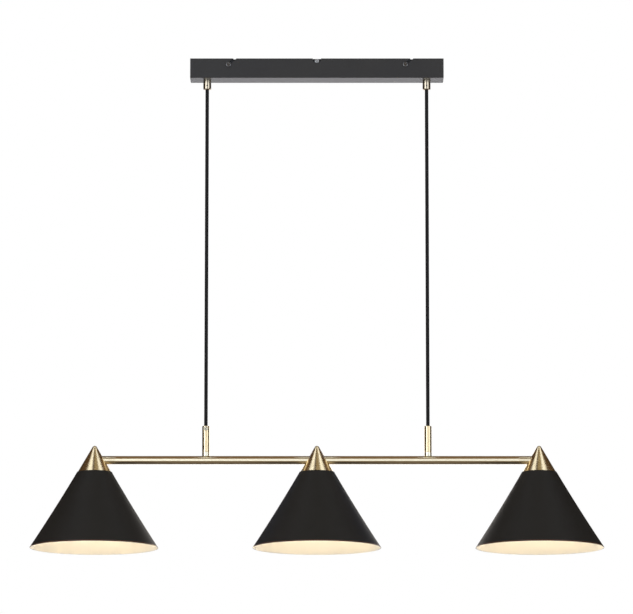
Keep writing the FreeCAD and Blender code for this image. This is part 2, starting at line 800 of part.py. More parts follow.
# Caps, shades, holders and bulbs
for place, x in shade_places.items():
    bored = {"left": [1], "centre": [-1, 1], "right": [-1]}[place]
    save("cone_cap_" + place, cone_cap(x, bored))
    save("shade_" + place, shade(x))
    save("lampholder_" + place, lampholder(x))
    save("bulb_base_" + place, bulb_base(x))
    save("bulb_glass_" + place, bulb_glass(x))
places = list(shade_places.values())
nipple_top = bar_z - shade_nipple_top
save("shade_nipples", [hollow_nipple(holder_chamber_z, nipple_top, x) for x in places])
save("shade_nuts", [nut(shade_nut_flats, nipple_hole, nut_bottom_z, cap_base_z - shade_wall, x)
                    for x in places])
save("socket_shells", [socket_shell(x) for x in places])
save("centre_contacts", [centre_contact(x) for x in places])
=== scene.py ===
import math

import bpy
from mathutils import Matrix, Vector


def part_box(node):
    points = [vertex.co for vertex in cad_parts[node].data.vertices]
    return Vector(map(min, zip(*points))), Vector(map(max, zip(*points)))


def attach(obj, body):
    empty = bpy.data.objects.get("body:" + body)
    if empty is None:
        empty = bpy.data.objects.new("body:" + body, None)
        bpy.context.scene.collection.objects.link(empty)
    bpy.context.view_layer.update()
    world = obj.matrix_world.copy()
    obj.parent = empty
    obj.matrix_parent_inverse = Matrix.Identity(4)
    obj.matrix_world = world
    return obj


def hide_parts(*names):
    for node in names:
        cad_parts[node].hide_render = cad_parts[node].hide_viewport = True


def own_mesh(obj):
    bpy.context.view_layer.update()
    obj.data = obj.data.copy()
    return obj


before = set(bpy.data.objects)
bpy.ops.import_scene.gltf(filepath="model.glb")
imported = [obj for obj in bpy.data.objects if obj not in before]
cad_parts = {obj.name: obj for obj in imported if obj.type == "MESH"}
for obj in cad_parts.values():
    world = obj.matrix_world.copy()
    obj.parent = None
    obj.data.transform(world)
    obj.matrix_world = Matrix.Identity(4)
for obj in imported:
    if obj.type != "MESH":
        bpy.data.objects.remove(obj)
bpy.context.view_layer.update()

# Ceiling bracket: a strip of black zinc-plated steel, 1.5 mm thick, bent down into four
# tapped ears and one earth tab. Two screws hold it to the ceiling through its long slots.
# Its made shape is right, so a merged copy only gets softened edges and a finish, which is partly
# painted shade.
bracket_edge = 0.00015
merge_gap = 0.000001


def new_finish(name, colour, roughness, metallic=0.0):
    """A material with its shader's plain values set, and that shader."""
    finish = bpy.data.materials.new(name)
    finish.use_nodes = True
    shader = finish.node_tree.nodes["Principled BSDF"]
    shader.inputs["Base Color"].default_value = (*colour, 1)
    shader.inputs["Roughness"].default_value = roughness
    shader.inputs["Metallic"].default_value = metallic
    return finish, shader


def grain(finish, scale, stretch=(1, 1, 1), detail=2.0):
    """Noise in the piece's own place, finer along the axes that are stretched more."""
    nodes, links = finish.node_tree.nodes, finish.node_tree.links
    place = nodes.new("ShaderNodeTexCoord")
    mapping = nodes.new("ShaderNodeMapping")
    mapping.inputs["Scale"].default_value = stretch
    noise = nodes.new("ShaderNodeTexNoise")
    noise.inputs["Scale"].default_value = scale
    noise.inputs["Detail"].default_value = detail
    links.new(place.outputs["Object"], mapping.inputs["Vector"])
    links.new(mapping.outputs["Vector"], noise.inputs["Vector"])
    return noise.outputs["Fac"]


def vary(finish, pattern, low, high, socket):
    """A pattern drives a shader's number between two values."""
    spread = finish.node_tree.nodes.new("ShaderNodeMapRange")
    spread.inputs["From Min"].default_value = 0.3
    spread.inputs["From Max"].default_value = 0.7
    spread.inputs["To Min"].default_value = low
    spread.inputs["To Max"].default_value = high
    finish.node_tree.links.new(pattern, spread.inputs["Value"])
    finish.node_tree.links.new(spread.outputs["Result"], socket)


def tint(finish, pattern, first, second, socket):
    """A pattern blends two colours into a shader's colour."""
    blend = finish.node_tree.nodes.new("ShaderNodeMix")
    blend.data_type = "RGBA"
    blend.inputs["A"].default_value = (*first, 1)
    blend.inputs["B"].default_value = (*second, 1)
    vary(finish, pattern, 0.0, 1.0, blend.inputs["Factor"])
    finish.node_tree.links.new(blend.outputs["Result"], socket)


def dents(finish, pattern, depth, shader):
    """A pattern raises and lowers the surface by about this many metres."""
    bump = finish.node_tree.nodes.new("ShaderNodeBump")
    bump.inputs["Strength"].default_value = 1.0
    bump.inputs["Distance"].default_value = depth
    finish.node_tree.links.new(pattern, bump.inputs["Height"])
    finish.node_tree.links.new(bump.outputs["Normal"], shader.inputs["Normal"])


def dress(piece, node, finishes, body):
    """Give a piece its name, its finishes and its body, and hide the made part that it stands for.
    """
    piece.name = node + "_piece"
    piece.data.name = piece.name
    piece.data.materials.clear()
    for finish in finishes if isinstance(finishes, list) else [finishes]:
        piece.data.materials.append(finish)
    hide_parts(node)
    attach(piece, body)
    return piece


def only(piece):
    """Leave edit mode, and make one piece the only selected and the active one."""
    if bpy.context.mode != "OBJECT":
        bpy.ops.object.mode_set(mode="OBJECT")
    bpy.ops.object.select_all(action="DESELECT")
    bpy.context.view_layer.objects.active = piece
    piece.select_set(True)


def apply_modifiers(piece):
    """Apply a piece's modifiers in order."""
    only(piece)
    for modifier in list(piece.modifiers):
        bpy.ops.object.modifier_apply(modifier=modifier.name)


def soften(piece, width, segments=2, angle=35.0):
    """Round a piece's sharp edges by this width, and shade its round sides smooth."""
    nearly_parallel, far_larger = 0.9998, 6
    bevel = piece.modifiers.new("softened edges", "BEVEL")
    bevel.width = width
    bevel.segments = segments
    bevel.limit_method = "ANGLE"
    bevel.angle_limit = math.radians(angle)
    apply_modifiers(piece)
    bpy.ops.object.shade_smooth_by_angle(angle=math.radians(angle))
    faces = piece.data.polygons
    beside = {}
    for face in faces:
        for edge in face.edge_keys:
            beside.setdefault(edge, []).append(face)
    for face in faces:
        bent = [other.area for edge in face.edge_keys for other in beside[edge]
                if other.normal.dot(face.normal) < nearly_parallel]
        if bent and face.area > far_larger * max(bent):
            face.use_smooth = False
    flats = piece.modifiers.new("flat faces stay flat", "WEIGHTED_NORMAL")
    flats.mode = "FACE_AREA"
    flats.weight = 100
    flats.keep_sharp = True
    apply_modifiers(piece)
    return piece


def merged_copy(node, width):
    """A copy of a made part with its triangles joined, flats cleaned and edges softened."""
    piece = bpy.data.objects.new(node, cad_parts[node].data.copy())
    bpy.context.scene.collection.objects.link(piece)
    only(piece)
    bpy.ops.object.mode_set(mode="EDIT")
    bpy.ops.mesh.select_all(action="SELECT")
    bpy.ops.mesh.remove_doubles(threshold=merge_gap)
    bpy.ops.mesh.dissolve_limited(angle_limit=math.radians(0.5))
    bpy.ops.object.mode_set(mode="OBJECT")
    return soften(piece, width)


# Partly painted shade: the black zinc is darker than the real plate looks, standing in for the
# shade a ceiling would cast into the canopy.
black_zinc_and_shade, shader = new_finish("black zinc plate darkened as shade", (0.034, 0.034, 0.035), 0.5, metallic=1.0)
tint(black_zinc_and_shade, grain(black_zinc_and_shade, 60), (0.031, 0.031, 0.032), (0.040, 0.039, 0.038),
     shader.inputs["Base Color"])
vary(black_zinc_and_shade, grain(black_zinc_and_shade, 900, (0.3, 1, 1)), 0.44, 0.58, shader.inputs["Roughness"])
bracket = merged_copy("ceiling_bracket", bracket_edge)
dress(bracket, "ceiling_bracket", black_zinc_and_shade, "bracket")

# Screws in the bracket: four blackened pan heads that the canopy's slots hook over, and a
# grey steel earth screw on a brighter washer, which show through the canopy's notch.
screw_edge = 0.00008
earth_head_radius = 0.0038
earth_head_margin = 0.0001
blackened, shader = new_finish("blackened steel", (0.21, 0.205, 0.20), 0.16, metallic=1.0)
vary(blackened, grain(blackened, 1500), 0.13, 0.20, shader.inputs["Roughness"])
bright_steel, shader = new_finish("bright steel", (0.74, 0.74, 0.73), 0.22, metallic=1.0)
vary(bright_steel, grain(bright_steel, 1200), 0.16, 0.30, shader.inputs["Roughness"])
dress(merged_copy("canopy_screws", screw_edge), "canopy_screws", blackened,
      "bracket")
grey_steel, shader = new_finish("grey steel", (0.46, 0.455, 0.44), 0.34, metallic=1.0)
vary(grey_steel, grain(grey_steel, 1200), 0.28, 0.42, shader.inputs["Roughness"])
earth_screw = dress(merged_copy("earth_screw", screw_edge), "earth_screw",
                    [grey_steel, bright_steel], "bracket")
earth_low, earth_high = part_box("earth_screw")
for face in earth_screw.data.polygons:
    off_axis = math.hypot(face.center.x, face.center.z - (earth_low.z + earth_high.z) / 2)
    if off_axis > earth_head_radius + earth_head_margin:
        face.material_index = 1

# Canopy: a tray folded from 1 mm steel sheet with welded corners, powder-coated dark grey.
# Slanted slots in its long walls hook over the bracket's screws, and a round notch in the
# front wall leaves room for a cable on the ceiling. Each grip's stud goes through its floor.
canopy_length = 0.450
canopy_width = 0.045
canopy_height = 0.035
canopy_sheet = 0.001
canopy_bend = 0.0015
canopy_edge = 0.00012
screw_x = 0.157
screw_drop = 0.011
slot_half = 0.0023
slot_run = 0.024
slot_angle = 45.0
wall_reach = 0.03
notch_radius = 0.0075
notch_drop = 0.001
cord_x = 0.195
stud_hole_radius = 0.005
stud_hole_low_z = -0.05
stud_hole_top_z = -0.02
canopy_grey = (0.042, 0.041, 0.0415)


def pick(piece, faces=None, edges=None):
    """Open edit mode on the faces, or the edges, whose middle and normal or ends pass a test."""
    only(piece)
    bpy.ops.object.mode_set(mode="EDIT")
    bpy.ops.mesh.select_mode(type="FACE" if faces else "EDGE")
    bpy.ops.mesh.select_all(action="DESELECT")
    bpy.ops.object.mode_set(mode="OBJECT")
    points = piece.data.vertices
    for face in piece.data.polygons if faces else []:
        face.select = faces(face.center, face.normal)
    for edge in piece.data.edges if edges else []:
        edge.select = edges(*(points[end].co for end in edge.vertices))
    bpy.ops.object.mode_set(mode="EDIT")


def cut(piece, cutter):
    """Cut one solid out of a piece."""
    boolean = piece.modifiers.new("cut", "BOOLEAN")
    boolean.operation = "DIFFERENCE"
    boolean.solver = "EXACT"
    boolean.object = cutter
    apply_modifiers(piece)
    bpy.data.objects.remove(cutter, do_unlink=True)


def drill(piece, radius, start, end, sides=48):
    """Drill a round hole from one point to another."""
    start, end = Vector(start), Vector(end)
    way = end - start
    bpy.ops.object.select_all(action="DESELECT")
    bpy.ops.mesh.primitive_cylinder_add(
        vertices=sides, radius=radius, depth=way.length, location=(start + end) / 2,
        rotation=way.to_track_quat("Z", "Y").to_euler())
    cut(piece, bpy.context.object)


bpy.ops.object.select_all(action="DESELECT")
bpy.ops.mesh.primitive_cube_add(size=1)
canopy = bpy.context.object
bpy.ops.object.mode_set(mode="EDIT")
bpy.ops.transform.resize(value=(canopy_length, canopy_width, canopy_height))
bpy.ops.transform.translate(value=(0, 0, -canopy_height / 2))
pick(canopy, faces=lambda middle, normal: normal.z > 0.5)
bpy.ops.mesh.delete(type="ONLY_FACE")
pick(canopy, edges=lambda a, b: min(a.z, b.z) < -canopy_height / 2)
bpy.ops.mesh.bevel(offset=canopy_bend, segments=5, affect="EDGES")
bpy.ops.object.mode_set(mode="OBJECT")
walls = canopy.modifiers.new("sheet", "SOLIDIFY")
walls.thickness = canopy_sheet
walls.offset = -1.0
walls.use_even_offset = True
apply_modifiers(canopy)
for side in (-1, 1):
    x = side * screw_x
    seat = Vector((x, 0, -screw_drop))
    drill(canopy, slot_half, seat + Vector((0, -wall_reach, 0)), seat + Vector((0, wall_reach, 0)))
    bpy.ops.object.select_all(action="DESELECT")
    bpy.ops.mesh.primitive_cube_add(size=1, location=seat)
    run = bpy.context.object
    run.rotation_euler = (0, -math.radians(slot_angle), 0)
    run.scale = (slot_run, 2 * wall_reach, 2 * slot_half)
    run.location = seat + Vector((1, 0, 1)).normalized() * (slot_run / 2)
    cut(canopy, run)
    drill(canopy, stud_hole_radius, (side * cord_x, 0, stud_hole_low_z),
          (side * cord_x, 0, stud_hole_top_z))
drill(canopy, notch_radius, (0, -wall_reach, -notch_drop), (0, 0, -notch_drop), sides=64)
soften(canopy, canopy_edge)
powder_coat, shader = new_finish("grey powder coat", canopy_grey, 0.36)
shader.inputs["Specular IOR Level"].default_value = 0.3
coat_grain = grain(powder_coat, 1800, detail=3.0)
tint(powder_coat, grain(powder_coat, 14), (0.040, 0.039, 0.0405), (0.045, 0.0435, 0.043),
     shader.inputs["Base Color"])
vary(powder_coat, coat_grain, 0.31, 0.43, shader.inputs["Roughness"])
dents(powder_coat, coat_grain, 0.00003, shader)
dress(canopy, "canopy_cover", powder_coat, "canopy")

# Cord grips: turned from brass and brushed on the lathe. A threaded stud goes up through
# the canopy's floor, and a grub screw in the front pinches the cord.
grip_radius = 0.007
grip_mouth_z = -0.0525
grip_chamfer = 0.0013
grip_bore = 0.0035
grip_stud_radius = 0.00495
grip_stud_top = -0.026
grip_thread_pitch = 0.001
thread_depth = 0.0005
grip_screw_z = -0.0457
grip_screw_hole = 0.00155
grip_drill_reach = 0.012
outline_gap = 0.0000001
turned_edge = 0.00012
grip_tones = (0.60, 0.51, 0.37), (0.57, 0.485, 0.35)
canopy_bottom = -canopy_height


def drawn(points):
    """Extrude a vertex from point to point, and leave edit mode open on that line."""
    bpy.ops.object.select_all(action="DESELECT")
    bpy.ops.mesh.primitive_plane_add(size=0.001)
    bpy.ops.object.mode_set(mode="EDIT")
    bpy.ops.mesh.select_mode(type="VERT")
    bpy.ops.mesh.select_all(action="SELECT")
    bpy.ops.mesh.merge(type="CENTER")
    bpy.ops.transform.translate(value=points[0])
    for before, after in zip(points, points[1:]):
        step = Vector(after) - Vector(before)
        bpy.ops.mesh.extrude_region_move(TRANSFORM_OT_translate={"value": step})


def turned(outline, x=0.0, sides=96, axle_z=None):
    """A piece turned on a lathe, from (radius, place) points in order round its section.

    The axle is upright at x, or lies along X at the height axle_z.
    """
    if outline[0][0] > 0 or outline[-1][0] > 0:
        outline = outline + outline[:1]
    upright = axle_z is None
    drawn([(x + radius, 0, place) if upright else (place, 0, axle_z + radius)
           for radius, place in outline])
    bpy.ops.mesh.select_all(action="SELECT")
    bpy.ops.mesh.remove_doubles(threshold=outline_gap)
    bpy.ops.mesh.select_all(action="SELECT")
    bpy.ops.mesh.spin(steps=sides, angle=2 * math.pi, use_auto_merge=True,
                      center=(x, 0, 0) if upright else (0, 0, axle_z),
                      axis=(0, 0, 1) if upright else (1, 0, 0))
    bpy.ops.mesh.select_all(action="SELECT")
    bpy.ops.mesh.remove_doubles(threshold=merge_gap)
    bpy.ops.mesh.normals_make_consistent(inside=False)
    bpy.ops.object.mode_set(mode="OBJECT")
    return bpy.context.object


def thread(crest, depth, low, high, pitch):
    """The V grooves of a fine thread, as outline points from low to high."""
    points = []
    for groove in range(int((high - low) / pitch)):
        foot = low + groove * pitch
        points += [(crest, foot), (crest - depth, foot + pitch / 2)]
    return points + [(crest, low + len(points) / 2 * pitch), (crest, high)]


def brushed_brass(name, axis, tones, smoothest, roughest, stretch):
    """Brass brushed round an axis: fine rings in its gloss, and highlights drawn along it."""
    finish, shader = new_finish(name, tones[0], roughest, metallic=1.0)
    shader.inputs["Anisotropic"].default_value = stretch
    shader.inputs["Anisotropic Rotation"].default_value = 0.25
    tangent = finish.node_tree.nodes.new("ShaderNodeTangent")
    tangent.direction_type = "RADIAL"
    tangent.axis = axis
    finish.node_tree.links.new(tangent.outputs["Tangent"], shader.inputs["Tangent"])
    along = (0.02, 0.02, 1) if axis == "Z" else (1, 0.02, 0.02)
    rings = grain(finish, 3500, along, detail=1.0)
    vary(finish, rings, smoothest, roughest, shader.inputs["Roughness"])
    tint(finish, grain(finish, 90, along), *tones, shader.inputs["Base Color"])
    return finish


grip_brass = brushed_brass("pale brass brushed round", "Z", grip_tones, 0.21, 0.23, 0.6)
grip_outline = [(grip_bore, grip_mouth_z), (grip_radius - grip_chamfer, grip_mouth_z),
                (grip_radius, grip_mouth_z + grip_chamfer), (grip_radius, canopy_bottom)]
grip_outline += thread(grip_stud_radius, thread_depth, canopy_bottom, grip_stud_top,
                       grip_thread_pitch)
grip_outline += [(grip_bore, grip_stud_top)]
for side_name, side in (("left", -1), ("right", 1)):
    x = side * cord_x
    grip = turned(grip_outline, x)
    drill(grip, grip_screw_hole, (x, -grip_drill_reach, grip_screw_z), (x, 0, grip_screw_z),
          sides=32)
    soften(grip, turned_edge)
    dress(grip, "cord_grip_" + side_name, grip_brass, "canopy")

# Grub screws: blackened steel with a hexagon socket, one in the front of each grip, where
# it pinches the cord.
grub_radius = 0.0015
grub_inner_y = -0.00335
grub_outer_y = -0.0068
socket_radius = 0.0009
socket_depth = 0.0009


def grub_screw(x, inner, outer, z):
    """A grub screw whose round body runs from inner to outer along Y at x and z."""
    middle = Vector((x, (inner + outer) / 2, z))
    lying = (math.radians(90), 0, 0)
    bpy.ops.object.select_all(action="DESELECT")
    bpy.ops.mesh.primitive_cylinder_add(vertices=32, radius=grub_radius, depth=abs(outer - inner),
                                        location=middle, rotation=lying)
    screw = bpy.context.object
    bpy.ops.mesh.primitive_cylinder_add(vertices=6, radius=socket_radius, depth=2 * socket_depth,
                                        location=(x, outer, z), rotation=lying)
    cut(screw, bpy.context.object)
    bpy.ops.object.transform_apply()
    return soften(screw, turned_edge)


def joined(pieces):
    """Several pieces as one."""
    bpy.ops.object.select_all(action="DESELECT")
    for piece in pieces:
        piece.select_set(True)
    bpy.context.view_layer.objects.active = pieces[0]
    bpy.ops.object.join()
    return pieces[0]


grip_screws = joined([grub_screw(side * cord_x, grub_inner_y, grub_outer_y, grip_screw_z)
                      for side in (-1, 1)])
dress(grip_screws, "grip_set_screws", blackened, "canopy")

# Fittings inside the canopy: washers and lock nuts of the grips, nylon cord clamps, a
# nylon terminal block on its stud, and the brown, blue and earth wires from each cord.
fitting_edge = 0.00015
zinc, shader = new_finish("zinc plate", (0.40, 0.40, 0.39), 0.42, metallic=1.0)
tint(zinc, grain(zinc, 60), (0.42, 0.43, 0.44), (0.34, 0.34, 0.31), shader.inputs["Base Color"])
vary(zinc, grain(zinc, 900, (0.3, 1, 1)), 0.36, 0.50, shader.inputs["Roughness"])
white_nylon, shader = new_finish("white nylon", (0.74, 0.74, 0.70), 0.5)
shader.inputs["Subsurface Weight"].default_value = 0.1
shader.inputs["Subsurface Radius"].default_value = (0.002, 0.002, 0.0018)
vary(white_nylon, grain(white_nylon, 400), 0.42, 0.58, shader.inputs["Roughness"])
inside = [("grip_washers", zinc, "zinc_steel"), ("grip_locknuts", zinc, "zinc_steel"),
          ("cord_clamps", white_nylon, "white_nylon"),
          ("terminal_block", white_nylon, "white_nylon"),
          ("terminal_screws", bright_steel, "bright_screw"), ("canopy_studs", zinc, "zinc_steel"),
          ("stud_nuts", zinc, "zinc_steel")]
for colour, value in (("brown", (0.13, 0.045, 0.02)), ("blue", (0.02, 0.09, 0.42)),
                      ("earth", (0.28, 0.42, 0.03))):
    insulation, shader = new_finish(colour + " insulation", value, 0.42)
    vary(insulation, grain(insulation, 700), 0.36, 0.52, shader.inputs["Roughness"])
    inside.append(("lead_" + colour, insulation, colour + "_wire"))
for node, finish, slot in inside:
    dress(merged_copy(node, fitting_edge), node, finish, "canopy")

# Cords: flex in a black braided textile sleeve, 6.4 mm round, pulled straight by the
# light's weight. Its end in the canopy, above the grip's mouth, is a piece of its own, a
# little short of the mouth so that the swinging cord clears it.
cord_diameter = 0.0064
cord_low_z = -0.676
braid_turn = 0.024
braid_strands = 8
braid_depth = 0.0002
cord_sides = 64
ring_gap = 0.0008
straight_near_end = 0.040
swing_room = 0.0012


def centreline(route):
    """Points along a cord's smooth curve."""
    curve = bpy.data.curves.new("route", "CURVE")
    curve.dimensions = "3D"
    curve.resolution_u = 64
    line = curve.splines.new("NURBS")
    line.points.add(len(route) - 1)
    for point, place in zip(line.points, route):
        point.co = (*place, 1)
    line.order_u = 3
    line.use_endpoint_u = True
    carrier = bpy.data.objects.new("route", curve)
    bpy.context.scene.collection.objects.link(carrier)
    read = bpy.data.meshes.new_from_object(carrier)
    places = [vertex.co.copy() for vertex in read.vertices]
    bpy.data.objects.remove(carrier, do_unlink=True)
    return places


def even_points(places, gap):
    """Points at even distances along a line of points."""
    reach = [0.0]
    for before, after in zip(places, places[1:]):
        reach.append(reach[-1] + (after - before).length)
    count = round(reach[-1] / gap)
    points, leg = [], 0
    for step in range(count + 1):
        along = reach[-1] * step / count
        while leg < len(places) - 2 and reach[leg + 1] < along:
            leg += 1
        share = (along - reach[leg]) / (reach[leg + 1] - reach[leg])
        points.append(places[leg].lerp(places[leg + 1], share))
    return points


def braided_tube(name, places):
    """A closed tube of crossing strands round an upright line of points."""
    centres = even_points(places, ring_gap)
    points, faces = [], []
    for ring, centre in enumerate(centres):
        for side in range(cord_sides):
            round_share = side / cord_sides
            right = braid_strands * (round_share + centre.z / braid_turn)
            left = braid_strands * (round_share - centre.z / braid_turn)
            right_over = (math.floor(right) + math.floor(left)) % 2 == 0
            across, lengthwise = (right, left) if right_over else (left, right)
            crown = 1 - (2 * (across % 1) - 1) ** 2
            arch = 1 - 0.5 * (2 * (lengthwise % 1) - 1) ** 2
            radius = cord_diameter / 2 - braid_depth * (1 - crown * arch)
            angle = 2 * math.pi * round_share
            points.append(centre + radius * Vector((math.cos(angle), math.sin(angle), 0)))
            if ring:
                after = (side + 1) % cord_sides
                here, above = ring * cord_sides, (ring - 1) * cord_sides
                faces.append((above + side, above + after, here + after, here + side))
    last = (len(centres) - 1) * cord_sides
    faces.append(list(range(cord_sides))[::-1])
    faces.append([last + side for side in range(cord_sides)])
    mesh = bpy.data.meshes.new(name)
    mesh.from_pydata(points, [], faces)
    tube = bpy.data.objects.new(name, mesh)
    bpy.context.scene.collection.objects.link(tube)
    only(tube)
    bpy.ops.object.mode_set(mode="EDIT")
    bpy.ops.mesh.select_all(action="SELECT")
    bpy.ops.mesh.normals_make_consistent(inside=False)
    bpy.ops.object.mode_set(mode="OBJECT")
    bpy.ops.object.shade_smooth_by_angle(angle=math.radians(70))
    return tube


textile, shader = new_finish("black textile", (0.007, 0.006, 0.0057), 0.72)
shader.inputs["Specular IOR Level"].default_value = 0.25
shader.inputs["Sheen Weight"].default_value = 0.06
shader.inputs["Sheen Roughness"].default_value = 0.45
yarn = grain(textile, 2600, (1, 1, 0.35), detail=3.0)
tint(textile, yarn, (0.005, 0.0042, 0.004), (0.011, 0.0095, 0.009), shader.inputs["Base Color"])
dents(textile, yarn, 0.00006, shader)
for side_name, side in (("left", -1), ("right", 1)):
    x = side * cord_x
    route = [(x, 0, grip_mouth_z), (x, 0, grip_mouth_z - straight_near_end),
             (x, 0, cord_low_z + straight_near_end), (x, 0, cord_low_z)]
    places = centreline(route)
    cord = braided_tube("cord_" + side_name, places)
    dress(cord, "cord_" + side_name, textile, "cords")
    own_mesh(cord)
    tail_low, tail_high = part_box("cord_tail_" + side_name)
    tail_places = [Vector((x, 0, tail_high.z)), Vector((x, 0, tail_low.z + swing_room))]
    tail = braided_tube("cord_tail_" + side_name, tail_places)
    dress(tail, "cord_tail_" + side_name, textile, "canopy")

# Stems: turned brass sleeves that take the cords' lower ends, each with a slotted screw on
# a flat seat near its top, the left one in front and the right one at the back. Under each
# sits a plain collar whose foot is barely hollowed where it stands on the round bar.
stem_radius = 0.0064
stem_top_z = -0.656
stem_low_z = -0.7015
stem_bore = 0.0035
stem_screw_z = -0.6608
stem_seat_y = 0.0054
stem_hole_radius = 0.00205
stem_drill_reach = 0.012
screw_seat_y = 0.0055
screw_shank_radius = 0.002
screw_shank_end_y = 0.0035
head_radius = 0.0038
head_height = 0.0018
head_round = 0.0006
head_play = 0.0001
slot_width = 0.0012
slot_depth = 0.0009
slot_turn = 135.0
stem_nipple_hole = 0.00405
stem_nipple_top_z = -0.6895
seam_chamfer = 0.0003
bar_z = -0.716
bar_radius = 0.0073
saddle_depth = 0.0003
saddle_clearance = 0.00005
brass_tones = (0.82, 0.65, 0.385), (0.79, 0.62, 0.365)
pale_brass_tone = (0.82, 0.76, 0.58)

stem_brass = brushed_brass("brass brushed round the stem", "Z", brass_tones, 0.21, 0.23, 0.6)
pale_brass, shader = new_finish("pale brass", pale_brass_tone, 0.24, metallic=1.0)
vary(pale_brass, grain(pale_brass, 2500, (0.05, 0.05, 1)), 0.20, 0.32, shader.inputs["Roughness"])
stem_outline = [(stem_bore, stem_nipple_top_z), (stem_bore, stem_top_z),
                (stem_radius - seam_chamfer, stem_top_z), (stem_radius, stem_top_z - seam_chamfer),
                (stem_radius, stem_low_z + seam_chamfer), (stem_radius - seam_chamfer, stem_low_z),
                (stem_nipple_hole, stem_low_z), (stem_nipple_hole, stem_nipple_top_z)]
collar_foot_z = bar_z + bar_radius - saddle_depth
collar_outline = [(stem_nipple_hole, collar_foot_z), (stem_nipple_hole, stem_low_z),
                  (stem_radius - seam_chamfer, stem_low_z),
                  (stem_radius, stem_low_z - seam_chamfer), (stem_radius, collar_foot_z)]


def slotted_screw(x, side):
    """A slotted screw on a stem's seat, its round-edged head outwards."""
    arc = [math.radians(22.5 * step) for step in range(5)]
    rounded = [(head_radius - head_round * (1 - math.cos(turn)),
                head_height - head_round * (1 - math.sin(turn))) for turn in arc]
    length = screw_seat_y - screw_shank_end_y
    screw = turned([(0.0, -length), (screw_shank_radius, -length), (screw_shank_radius, 0.0),
                    (head_radius, 0.0)] + rounded + [(0.0, head_height)], sides=64)
    bpy.ops.object.select_all(action="DESELECT")
    bpy.ops.mesh.primitive_cube_add(size=1, location=(0, 0, head_height))
    slot = bpy.context.object
    slot.scale = (4 * head_radius, slot_width, 2 * slot_depth)
    slot.rotation_euler = (0, 0, math.radians(slot_turn))
    cut(screw, slot)
    screw.location = (x, side * screw_seat_y, stem_screw_z)
    screw.rotation_euler = (-side * math.radians(90), 0, 0)
    only(screw)
    bpy.ops.object.transform_apply()
    return soften(screw, turned_edge / 2)


stem_screws = []
for side_name, side in (("left", -1), ("right", 1)):
    x = side * cord_x
    stem = turned(stem_outline, x)
    drill(stem, head_radius + head_play, (x, side * stem_seat_y, stem_screw_z),
          (x, side * stem_drill_reach, stem_screw_z), sides=64)
    drill(stem, stem_hole_radius, (x, side * stem_drill_reach, stem_screw_z),
          (x, 0, stem_screw_z), sides=32)
    soften(stem, turned_edge)
    dress(stem, "stem_" + side_name, stem_brass, "bar")
    collar = turned(collar_outline, x)
    drill(collar, bar_radius + saddle_clearance, (x - stem_drill_reach, 0, bar_z),
          (x + stem_drill_reach, 0, bar_z), sides=96)
    soften(collar, turned_edge / 2)
    dress(collar, "stem_collar_" + side_name, pale_brass, "bar")
    stem_screws.append(slotted_screw(x, side))
dress(joined(stem_screws), "stem_screws", pale_brass, "bar")
# The hidden nipples keep their made shape and get the zinc finish alone.
for material_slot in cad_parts["stem_nipples"].material_slots:
    material_slot.material = zinc

# Bar: one long brass tube that carries both stems and passes through the middle cap, and a
# short stub in each end cap, plugged into the tube with a visible V-shaped seam.
seam_x = 0.3553
stub_end_x = 0.398
bar_bore = 0.0063
spigot_radius = 0.00625
spigot_bore = 0.00525
spigot_start_x = 0.3413
spigot_root = 0.004
tube_edge = 0.0004

# Painted highlight: the bar's and the stubs' brass is toned lighter than the stems' and caps', so
# their reflections come out brighter. The stubs' is a little darker than the tube's.
bar_highlight_tones = (0.97, 0.83, 0.57), (0.94, 0.80, 0.545)
stub_highlight_tones = (0.88, 0.74, 0.49), (0.85, 0.71, 0.47)

lying_brass = brushed_brass("brass brushed round the bar", "X", bar_highlight_tones, 0.29, 0.31, 0.87)
stub_brass = brushed_brass("brass brushed round the stubs", "X", stub_highlight_tones, 0.29, 0.31, 0.87)
bar = turned([(bar_bore, -seam_x), (bar_radius, -seam_x), (bar_radius, seam_x), (bar_bore, seam_x)],
             axle_z=bar_z)
soften(bar, tube_edge)
dress(bar, "bar_tube", lying_brass, "bar")
for side_name, side in (("left", -1), ("right", 1)):
    stub = turned([(radius, side * place) for radius, place in (
        (bar_radius, seam_x), (bar_radius, stub_end_x), (bar_bore, stub_end_x),
        (bar_bore, seam_x + spigot_root), (spigot_bore, seam_x + spigot_root),
        (spigot_bore, spigot_start_x), (spigot_radius, spigot_start_x), (spigot_radius, seam_x))],
        axle_z=bar_z)
    soften(stub, tube_edge)
    dress(stub, "end_stub_" + side_name, stub_brass, "bar")
wiring, shader = new_finish("silicone insulation", (0.09, 0.03, 0.018), 0.5)
vary(wiring, grain(wiring, 700), 0.42, 0.58, shader.inputs["Roughness"])
dress(merged_copy("bar_wiring", fitting_edge), "bar_wiring", wiring, "bar")

# Cone caps: turned from brass with a rounded tip and brushed on the lathe, hollow, bored
# where the bar enters. Each sits on its shade and hides the joint of bar and shade.
shade_places = {"left": -0.390, "centre": 0.0, "right": 0.390}
cap_bores = {"left": (1,), "centre": (-1, 1), "right": (-1,)}
cap_tip_z = -0.6906
cap_tip_radius = 0.0044
cap_base_z = -0.737
cap_wall = 0.0016
cap_slope = math.radians(30)
cap_bore_radius = 0.0074
cap_drill_reach = 0.06


def cap_wall_line(inset):
    """One surface of the cap's wall, this far inside the outer one, from its tip to its foot."""
    ball = cap_tip_radius - inset
    ball_z = cap_tip_z - cap_tip_radius
    steps = 10
    tip = []
    for step in range(steps + 1):
        angle = math.pi / 2 + (cap_slope - math.pi / 2) * step / steps
        tip.append((ball * math.cos(angle), ball_z + ball * math.sin(angle)))
    tip[0] = (0.0, ball_z + ball)
    foot = (ball_z + ball / math.sin(cap_slope) - cap_base_z) * math.tan(cap_slope)
    return tip + [(foot, cap_base_z)]


